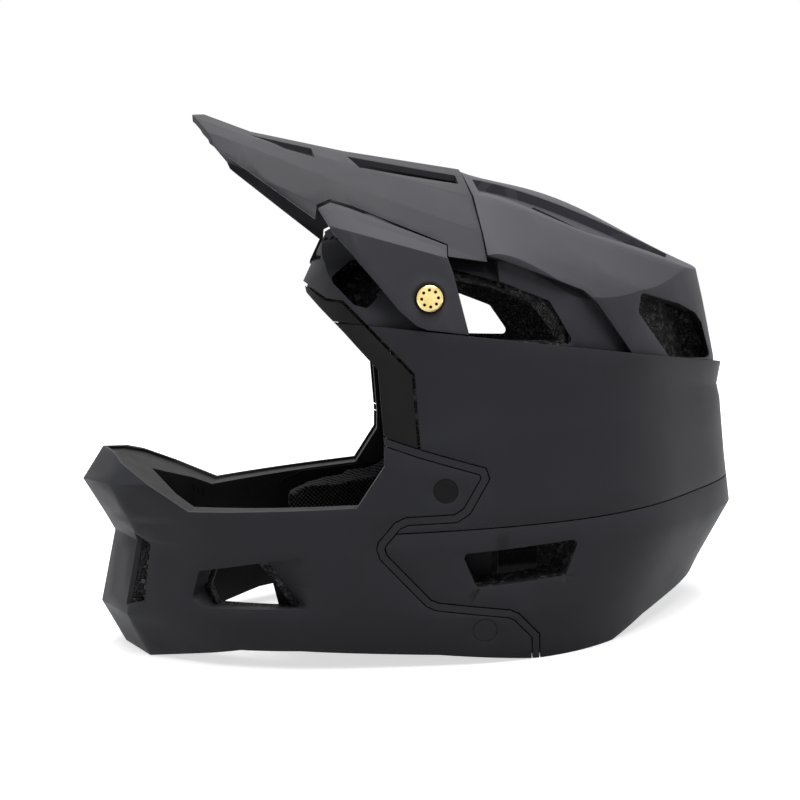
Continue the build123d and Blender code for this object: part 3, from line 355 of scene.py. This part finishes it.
def webbing_cloth(name, level):
    """Flat webbing: ribs across a fine weave."""
    material, tree, shader = new_material(name)
    ribs = add_node(tree, "ShaderNodeTexWave", Scale=WEB_RIBS_PER_METRE, Distortion=0.6)
    tree.links.new(object_coordinates(tree), ribs.inputs["Vector"])
    weave = ribs.outputs["Fac"]
    tone = ramp(tree, weave, [(0.2, grey(level * 0.5)), (0.8, grey(level))])
    tree.links.new(tone, shader.inputs["Base Color"])
    shader.inputs["Roughness"].default_value = 0.75
    shader.inputs["Specular IOR Level"].default_value = 0.08
    shader.inputs["Sheen Weight"].default_value = 0.1
    add_bump(tree, shader, weave, strength=0.5, distance=0.0004)
    return material


def dress(node, material):
    """Give a CAD node its material."""
    if not node.material_slots:
        node.data.materials.append(material)
    for slot in node.material_slots:
        slot.material = material


def soften_edges(node, width):
    """Round a moulding's edges by modifiers; its mesh stays as it is."""
    weld = node.modifiers.new("weld", "WELD")
    weld.merge_threshold = WELD_REACH * MM
    bevel = node.modifiers.new("bevel", "BEVEL")
    bevel.width = width
    bevel.segments = 2
    bevel.limit_method = "ANGLE"
    bevel.angle_limit = math.radians(EDGE_ANGLE)
    bevel.use_clamp_overlap = True


def add_piece(name, mesh, material, body="shell"):
    piece = bpy.data.objects.new(name, mesh)
    bpy.context.scene.collection.objects.link(piece)
    mesh.materials.clear()
    mesh.materials.append(material)
    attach(piece, body)
    return piece


def new_mesh(name, vertices, faces):
    mesh = bpy.data.meshes.new(name)
    mesh.from_pydata(vertices, [], faces)
    mesh.update()
    return mesh


def baked_mesh(piece):
    """The piece's mesh with its modifiers applied."""
    graph = bpy.context.evaluated_depsgraph_get()
    return bpy.data.meshes.new_from_object(piece.evaluated_get(graph), depsgraph=graph)


def bake(piece):
    mesh = baked_mesh(piece)
    piece.modifiers.clear()
    piece.data = mesh


def smoothstep(value, low, high):
    share = min(1, max(0, (value - low) / (high - low)))
    return share * share * (3 - 2 * share)


def away_from_head(vertex):
    """1 where a pad's surface looks straight away from the head, -1 where it faces the head."""
    return vertex.normal.dot((vertex.co - HEAD_CENTRE).normalized())


def swell(piece, cap):
    """Swell a closed form by a cloth simulation. Its back, which lies on its seat, stays."""
    mesh = piece.data
    rest = [vertex.co.copy() for vertex in mesh.vertices]
    held = piece.vertex_groups.new(name="held")
    freedom = []
    for vertex in mesh.vertices:
        freedom.append(1 - smoothstep(away_from_head(vertex), FREE_BELOW, HELD_ABOVE))
        held.add([vertex.index], 1 if freedom[-1] < HELD_FREEDOM else 0, "REPLACE")
    cloth = piece.modifiers.new("cloth", "CLOTH")
    cloth.settings.use_pressure = True
    cloth.settings.uniform_pressure_force = CLOTH_PRESSURE
    cloth.settings.vertex_group_mass = "held"
    cloth.settings.effector_weights.gravity = 0
    for step in range(1, CLOTH_FRAMES + 1):
        bpy.context.scene.frame_set(step)
    swollen = baked_mesh(piece)
    for i, vertex in enumerate(swollen.vertices):
        move = vertex.co - rest[i]
        limit = cap * freedom[i]
        if move.length > limit:
            vertex.co = rest[i] + move * (limit / move.length)
    piece.modifiers.clear()
    piece.data = swollen
    bpy.context.scene.frame_set(1)


def press_seam(piece, depth):
    """Press a sewn seam into the pad where its face turns over into its border."""
    middle, reach = (SEAM_INNER + SEAM_OUTER) / 2, (SEAM_INNER - SEAM_OUTER) / 2
    for vertex in piece.data.vertices:
        share = max(0, 1 - abs(-away_from_head(vertex) - middle) / reach)
        vertex.co -= vertex.normal * (depth * share)


def soft_pad(name, node, material, voxel, shrink, cap, seam):
    """A padded piece in the place of its plain solid."""
    piece = add_piece(name, NODES[node].data.copy(), material)
    remesh = piece.modifiers.new("remesh", "REMESH")
    remesh.mode = "VOXEL"
    remesh.voxel_size = voxel
    remesh.use_smooth_shade = True
    bake(piece)
    smooth = piece.modifiers.new("smooth", "SMOOTH")
    smooth.iterations = 3
    draw_in = piece.modifiers.new("draw_in", "DISPLACE")
    draw_in.strength = -shrink
    draw_in.mid_level = 0
    bake(piece)
    swell(piece, cap)
    divide = piece.modifiers.new("divide", "SUBSURF")
    divide.levels = divide.render_levels = 1
    bake(piece)
    press_seam(piece, seam)
    for face in piece.data.polygons:
        face.use_smooth = True
    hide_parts(node)


def rounded_path(points, radius, steps=10):
    """A path through points whose corners are arcs."""
    path = [Vector(points[0])]
    for before, corner, after in zip(points, points[1:], points[2:]):
        corner = Vector(corner)
        back, on = (Vector(before) - corner).normalized(), (Vector(after) - corner).normalized()
        half = back.angle(on) / 2
        reach = radius / math.tan(half)
        centre = corner + (back + on).normalized() * (radius / math.sin(half))
        start, end = corner + back * reach, corner + on * reach
        for i in range(steps + 1):
            path.append(centre + (start - centre).slerp(end - centre, i / steps))
    path.append(Vector(points[-1]))
    return path


def resampled(path, pitch):
    """Points at an even pitch along a path."""
    points, left = [path[0].copy()], pitch
    for first, last in zip(path, path[1:]):
        run = last - first
        done = 0
        while run.length - done >= left:
            done += left
            points.append(first + run.normalized() * done)
            left = pitch
        left -= run.length - done
    return points


def strap_path(pitch):
    corners = [Vector((0, y, z)) for y, z in STRAP_PLACES]
    return resampled(rounded_path(corners, STRAP_BEND), pitch)


def path_directions(path, i):
    """The direction along a path at one of its points, and the one square to it."""
    along = (path[min(i + 1, len(path) - 1)] - path[max(i - 1, 0)]).normalized()
    return along, Vector((0, -along.z, along.y))


def strap_point(point, across, side):
    """A point of the left or right strap: a point of the path, moved across the webbing."""
    return Vector(((STRAP_X + across) * MM, side * -point.y * MM, point.z * MM))


def strap_mesh(name, side):
    """Flat webbing with rolled selvedges, swept along its path."""
    path = strap_path(STRAP_PITCH)
    half, thick = WEB_WIDTH / 2, WEB_THICKNESS / 2
    upper = [(across * half, rise * thick) for across, rise in WEB_SHARES]
    ring = upper + [(x, -up) for x, up in reversed(upper)]
    vertices, faces = [], []
    for i, place in enumerate(path):
        normal = path_directions(path, i)[1]
        vertices += [strap_point(place + normal * up, x, side) for x, up in ring]
    count = len(ring)
    for i in range(len(path) - 1):
        for j in range(count):
            k = (j + 1) % count
            faces.append((i * count + j, i * count + k, (i + 1) * count + k, (i + 1) * count + j))
    faces.append(tuple(range(count - 1, -1, -1)))
    faces.append(tuple(range((len(path) - 1) * count, len(path) * count)))
    mesh = new_mesh(name, vertices, faces)
    if side < 0:
        mesh.flip_normals()
    for face in mesh.polygons:
        face.use_smooth = len(face.vertices) == 4
    return mesh


def box_mesh(name, boxes):
    """One mesh of small boxes, each given by its middle and its three half edges."""
    vertices, faces = [], []
    for middle, edges in boxes:
        first = len(vertices)
        vertices += [middle + edges[0] * a + edges[1] * b + edges[2] * c
                     for c in (-1, 1) for b in (-1, 1) for a in (-1, 1)]
        turned = edges[0].cross(edges[1]).dot(edges[2]) < 0
        for quad in ((0, 2, 3, 1), (4, 5, 7, 6), (0, 1, 5, 4), (2, 6, 7, 3), (0, 4, 6, 2),
                     (1, 3, 7, 5)):
            faces.append(tuple(first + i for i in (reversed(quad) if turned else quad)))
    return new_mesh(name, vertices, faces)


def tree_of(node):
    """A search tree over a CAD node's mesh."""
    mesh = NODES[node].data
    return BVHTree.FromPolygons([vertex.co.copy() for vertex in mesh.vertices],
                                [tuple(face.vertices) for face in mesh.polygons])


def first_hit(tree, start, direction):
    """Where a ray first meets the tree's surface, with start in millimetres."""
    return tree.ray_cast(Vector(start) * MM, Vector(direction))[0]


def add_brow_grille():
    shell = tree_of("crown_shell")
    boxes = []
    count = int(RIB_REACH / RIB_PITCH)
    for i in range(-count, count + 1):
        low, high = (first_hit(shell, (FAR_FRONT, i * RIB_PITCH, z), (1, 0, 0))
                     for z in RIB_HEIGHTS)
        if low is None or high is None or (high - low).length > RIB_LONGEST * MM:
            continue
        along = (high - low) / 2
        out = Vector((-along.z, 0, along.x)).normalized()
        across = Vector((0, RIB_WIDTH / 2 * MM, 0))
        boxes.append(((low + high) / 2, (along, across, out * RIB_RISE * MM)))
    add_piece("brow_grille", box_mesh("brow_grille", boxes), MATERIALS["plug_black"])


def add_slot_shade():
    skin = tree_of("chin_liner")
    edges = tuple(Vector(axis) * size * MM
                  for axis, size in zip(((1, 0, 0), (0, 1, 0), (0, 0, 1)), SLOT_SIZE))
    boxes = []
    for middle in SLOT_PLACES:
        for sign in (-1, 1):
            for i in range(SLOTS):
                x = middle + (i - (SLOTS - 1) / 2) * SLOT_PITCH
                # The rim is where the skin is first met from above
                hit, z = None, SKIN_TOP
                while hit is None and z > SKIN_BOTTOM:
                    hit = first_hit(skin, (x, 0, z), (0, sign, 0))
                    z -= 1
                if hit is not None:
                    hit = first_hit(skin, (x, 0, z - SLOT_DROP), (0, sign, 0))
                if hit is not None:
                    boxes.append((hit, edges))
    # Near-black boxes on the skin: painted shade for the slots' openings
    add_piece("skin_slot_shade", box_mesh("skin_slot_shade", boxes), SLOT_SHADE_BLACK)


def stitch_boxes(path, index, across, lengthwise, side):
    """The thread of one stitch on both faces of the webbing, at a point of its path."""
    index = min(len(path) - 2, index)
    along, normal = path_directions(path, index)
    run = Vector((0, side * -along.y, along.z))
    if lengthwise:
        edges = (run * (STITCH_LENGTH / 2 * MM), Vector((STITCH_WIDTH / 2 * MM, 0, 0)))
    else:
        edges = (Vector((STITCH_LENGTH / 2 * MM, 0, 0)), run * (STITCH_WIDTH / 2 * MM))
    rise = Vector((0, side * -normal.y, normal.z)) * (STITCH_RISE / 2 * MM)
    boxes = []
    for face in (-1, 1):
        point = path[index] + normal * (face * (WEB_THICKNESS / 2 + STITCH_LIFT))
        boxes.append((strap_point(point, across, side), (*edges, rise)))
    return boxes


def add_stitches(name, side):
    """Two box seams: four sides and a cross, beside the buckle and below the rivet."""
    path = strap_path(STITCH_PATH_PITCH)
    count = int(BOX_RUN / STITCH_PITCH)
    boxes = []
    for first in (BOX_FROM_RIVET, len(path) - BOX_FROM_BUCKLE):
        stitches = []
        for i in range(count + 1):
            slope = BOX_HALF * (2 * i / count - 1)
            for across in (-BOX_HALF, BOX_HALF, -slope, slope):
                stitches.append((i, across, True))
        for j in range(1, CROSS_STITCHES + 1):
            across = -BOX_HALF + 2 * BOX_HALF * j / (CROSS_STITCHES + 1)
            stitches += [(0, across, False), (count, across, False)]
        for i, across, lengthwise in stitches:
            index = first + int(i * STITCH_PITCH / STITCH_PATH_PITCH)
            boxes += stitch_boxes(path, index, across, lengthwise, side)
    add_piece(name, box_mesh(name, boxes), THREAD)


def add_hole_shade(side, sign):
    """Painted shade: a dark disc low in each of a thumb screw's drilled holes, standing in for
    the shade in its depth.
    """
    vertices, faces = [], []
    for i in range(HOLES):
        turn = 2 * math.pi * i / HOLES
        x, z = SCREW_X + HOLE_CIRCLE * math.cos(turn), SCREW_Z + HOLE_CIRCLE * math.sin(turn)
        first = len(vertices)
        for j in range(HOLE_SHADE_SIDES):
            angle = 2 * math.pi * j / HOLE_SHADE_SIDES
            for depth in (HOLE_SHADE_DROP, HOLE_SHADE_DROP + HOLE_SHADE_DEPTH):
                vertices.append(((x + HOLE_RADIUS * math.cos(angle)) * MM,
                                 sign * (SCREW_FACE - depth) * MM,
                                 (z + HOLE_RADIUS * math.sin(angle)) * MM))
            k = (j + 1) % HOLE_SHADE_SIDES
            faces.append((first + 2 * j, first + 2 * k, first + 2 * k + 1, first + 2 * j + 1))
        faces.append(tuple(first + 2 * j for j in range(HOLE_SHADE_SIDES - 1, -1, -1)))
        faces.append(tuple(first + 2 * j + 1 for j in range(HOLE_SHADE_SIDES)))
    name = "screw_hole_shade_" + side
    add_piece(name, new_mesh(name, vertices, faces), MATERIALS["plug_black"],
              "screw_" + side)


def add_floor():
    bpy.ops.mesh.primitive_circle_add(vertices=FLOOR_SIDES, radius=FLOOR_RADIUS,
                                      fill_type="NGON", location=(0, 0, 0))
    floor = bpy.context.object
    floor.name = "floor"
    material, tree, shader = new_material("floor_paper")
    shader.inputs["Base Color"].default_value = FLOOR_PAPER
    shader.inputs["Roughness"].default_value = 0.9
    place = object_coordinates(tree)
    add_bump(tree, shader, noise(tree, place, scale=300), strength=0.02, distance=0.0005)
    # Its white grows outwards, so that it meets the white world without a line
    distance = add_node(tree, "ShaderNodeVectorMath", operation="LENGTH")
    tree.links.new(place, distance.inputs[0])
    glow = add_node(tree, "ShaderNodeEmission")
    tree.links.new(spread(tree, distance.outputs["Value"], GLOW_MIDDLE, GLOW_OUT),
                   glow.inputs["Strength"])
    white = add_node(tree, "ShaderNodeAddShader")
    tree.links.new(shader.outputs["BSDF"], white.inputs[0])
    tree.links.new(glow.outputs["Emission"], white.inputs[1])
    # For the rays that light the helmet it is a darker matt floor
    matt = add_node(tree, "ShaderNodeBsdfDiffuse", Color=FLOOR_SHADE)
    mix = add_node(tree, "ShaderNodeMixShader")
    tree.links.new(unlit_rays(tree), mix.inputs["Fac"])
    tree.links.new(matt.outputs["BSDF"], mix.inputs[1])
    tree.links.new(white.outputs["Shader"], mix.inputs[2])
    tree.links.new(mix.outputs["Shader"], tree.nodes["Material Output"].inputs["Surface"])
    floor.data.materials.append(material)


def add_world():
    world = bpy.data.worlds.new("studio")
    bpy.context.scene.world = world
    world.use_nodes = True
    tree = world.node_tree
    sky = tree.nodes["Background"]
    sky.inputs["Color"].default_value = SKY_COLOUR
    sky.inputs["Strength"].default_value = SKY_STRENGTH
    white = add_node(tree, "ShaderNodeBackground", Color=(1, 1, 1, 1), Strength=1)
    mix = add_node(tree, "ShaderNodeMixShader")
    tree.links.new(unlit_rays(tree), mix.inputs["Fac"])
    tree.links.new(sky.outputs["Background"], mix.inputs[1])
    tree.links.new(white.outputs["Background"], mix.inputs[2])
    tree.links.new(mix.outputs["Shader"], tree.nodes["World Output"].inputs["Surface"])


MATERIALS = {
    "shell_black": paint("shell_black", dark=0.036, light=0.042, rough=0.5),
    "shell_grey": paint("shell_grey", dark=0.052, light=0.060, rough=0.5),
    "peak_black": paint("peak_black", dark=0.034, light=0.040, rough=0.5),
    "trim_black": plastic("trim_black", level=0.016, rough=0.6),
    "plug_black": plastic("plug_black", level=0.008, rough=0.5),
    "gold": metal("gold", colour=(0.92, 0.72, 0.30), rough=0.26),
    "steel": metal("steel", colour=(0.45, 0.45, 0.46), rough=0.35),
    "foam_grey": foam("foam_grey"),
    "liner_black": plastic("liner_black", level=0.010, rough=0.5, grain=700, depth=0.0003),
    "pad_fabric": mesh_fabric("pad_fabric", level=0.018, axis="Y"),
    "webbing": webbing_cloth("webbing", level=0.02),
    "buckle": plastic("buckle", level=0.01, rough=0.4),
}
CROWN_FABRIC = mesh_fabric("crown_fabric", level=0.022, axis="Z")
BROW_FABRIC = mesh_fabric("brow_fabric", level=0.022, axis="X")
# Near-black of the slots: painted shade
SLOT_SHADE_BLACK = plastic("slot_shade_black", level=0.003, rough=0.6)
THREAD = plastic("thread", level=0.05, rough=0.7, grain=3000)

for part in frame["record"]["subparts"]:
    dress(NODES[part["node"]], MATERIALS[part["material_slot"]])
# The lower plugs and the gaskets have the shell's own colour
for name in ("lower_plugs", "chin_strip_left", "chin_strip_right"):
    dress(NODES[name], MATERIALS["shell_black"])
for name, width in EDGE_WIDTHS.items():
    soften_edges(NODES[name], width * MM)

for side in ("left", "right"):
    soft_pad("cheek_cushion_" + side, "cheek_pad_" + side, MATERIALS["pad_fabric"],
             voxel=4 * MM, shrink=1.5 * MM, cap=5 * MM, seam=1.2 * MM)
for pad, fabric, seam in (("crown", CROWN_FABRIC, 0.6), ("brow", BROW_FABRIC, 0.5),
                          ("rear", BROW_FABRIC, 0.6)):
    soft_pad(pad + "_cushion", pad + "_pad", fabric,
             voxel=2.5 * MM, shrink=0.8 * MM, cap=2.5 * MM, seam=seam * MM)
for side, sign in (("left", -1), ("right", 1)):
    web = add_piece("chin_webbing_" + side, strap_mesh("chin_webbing_" + side, sign),
                    MATERIALS["webbing"])
    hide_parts("chin_strap_" + side)
add_brow_grille()
add_slot_shade()
for side, sign in (("left", -1), ("right", 1)):
    add_stitches("stitches_" + side, sign)
# Painted shade: dark discs in the screws' drilled holes
for side, sign in (("left", -1), ("right", 1)):
    add_hole_shade(side, sign)

add_camera()
add_floor()
add_world()
for light in LIGHTS:
    add_light(*light)
bpy.context.scene.view_settings.view_transform = "Standard"
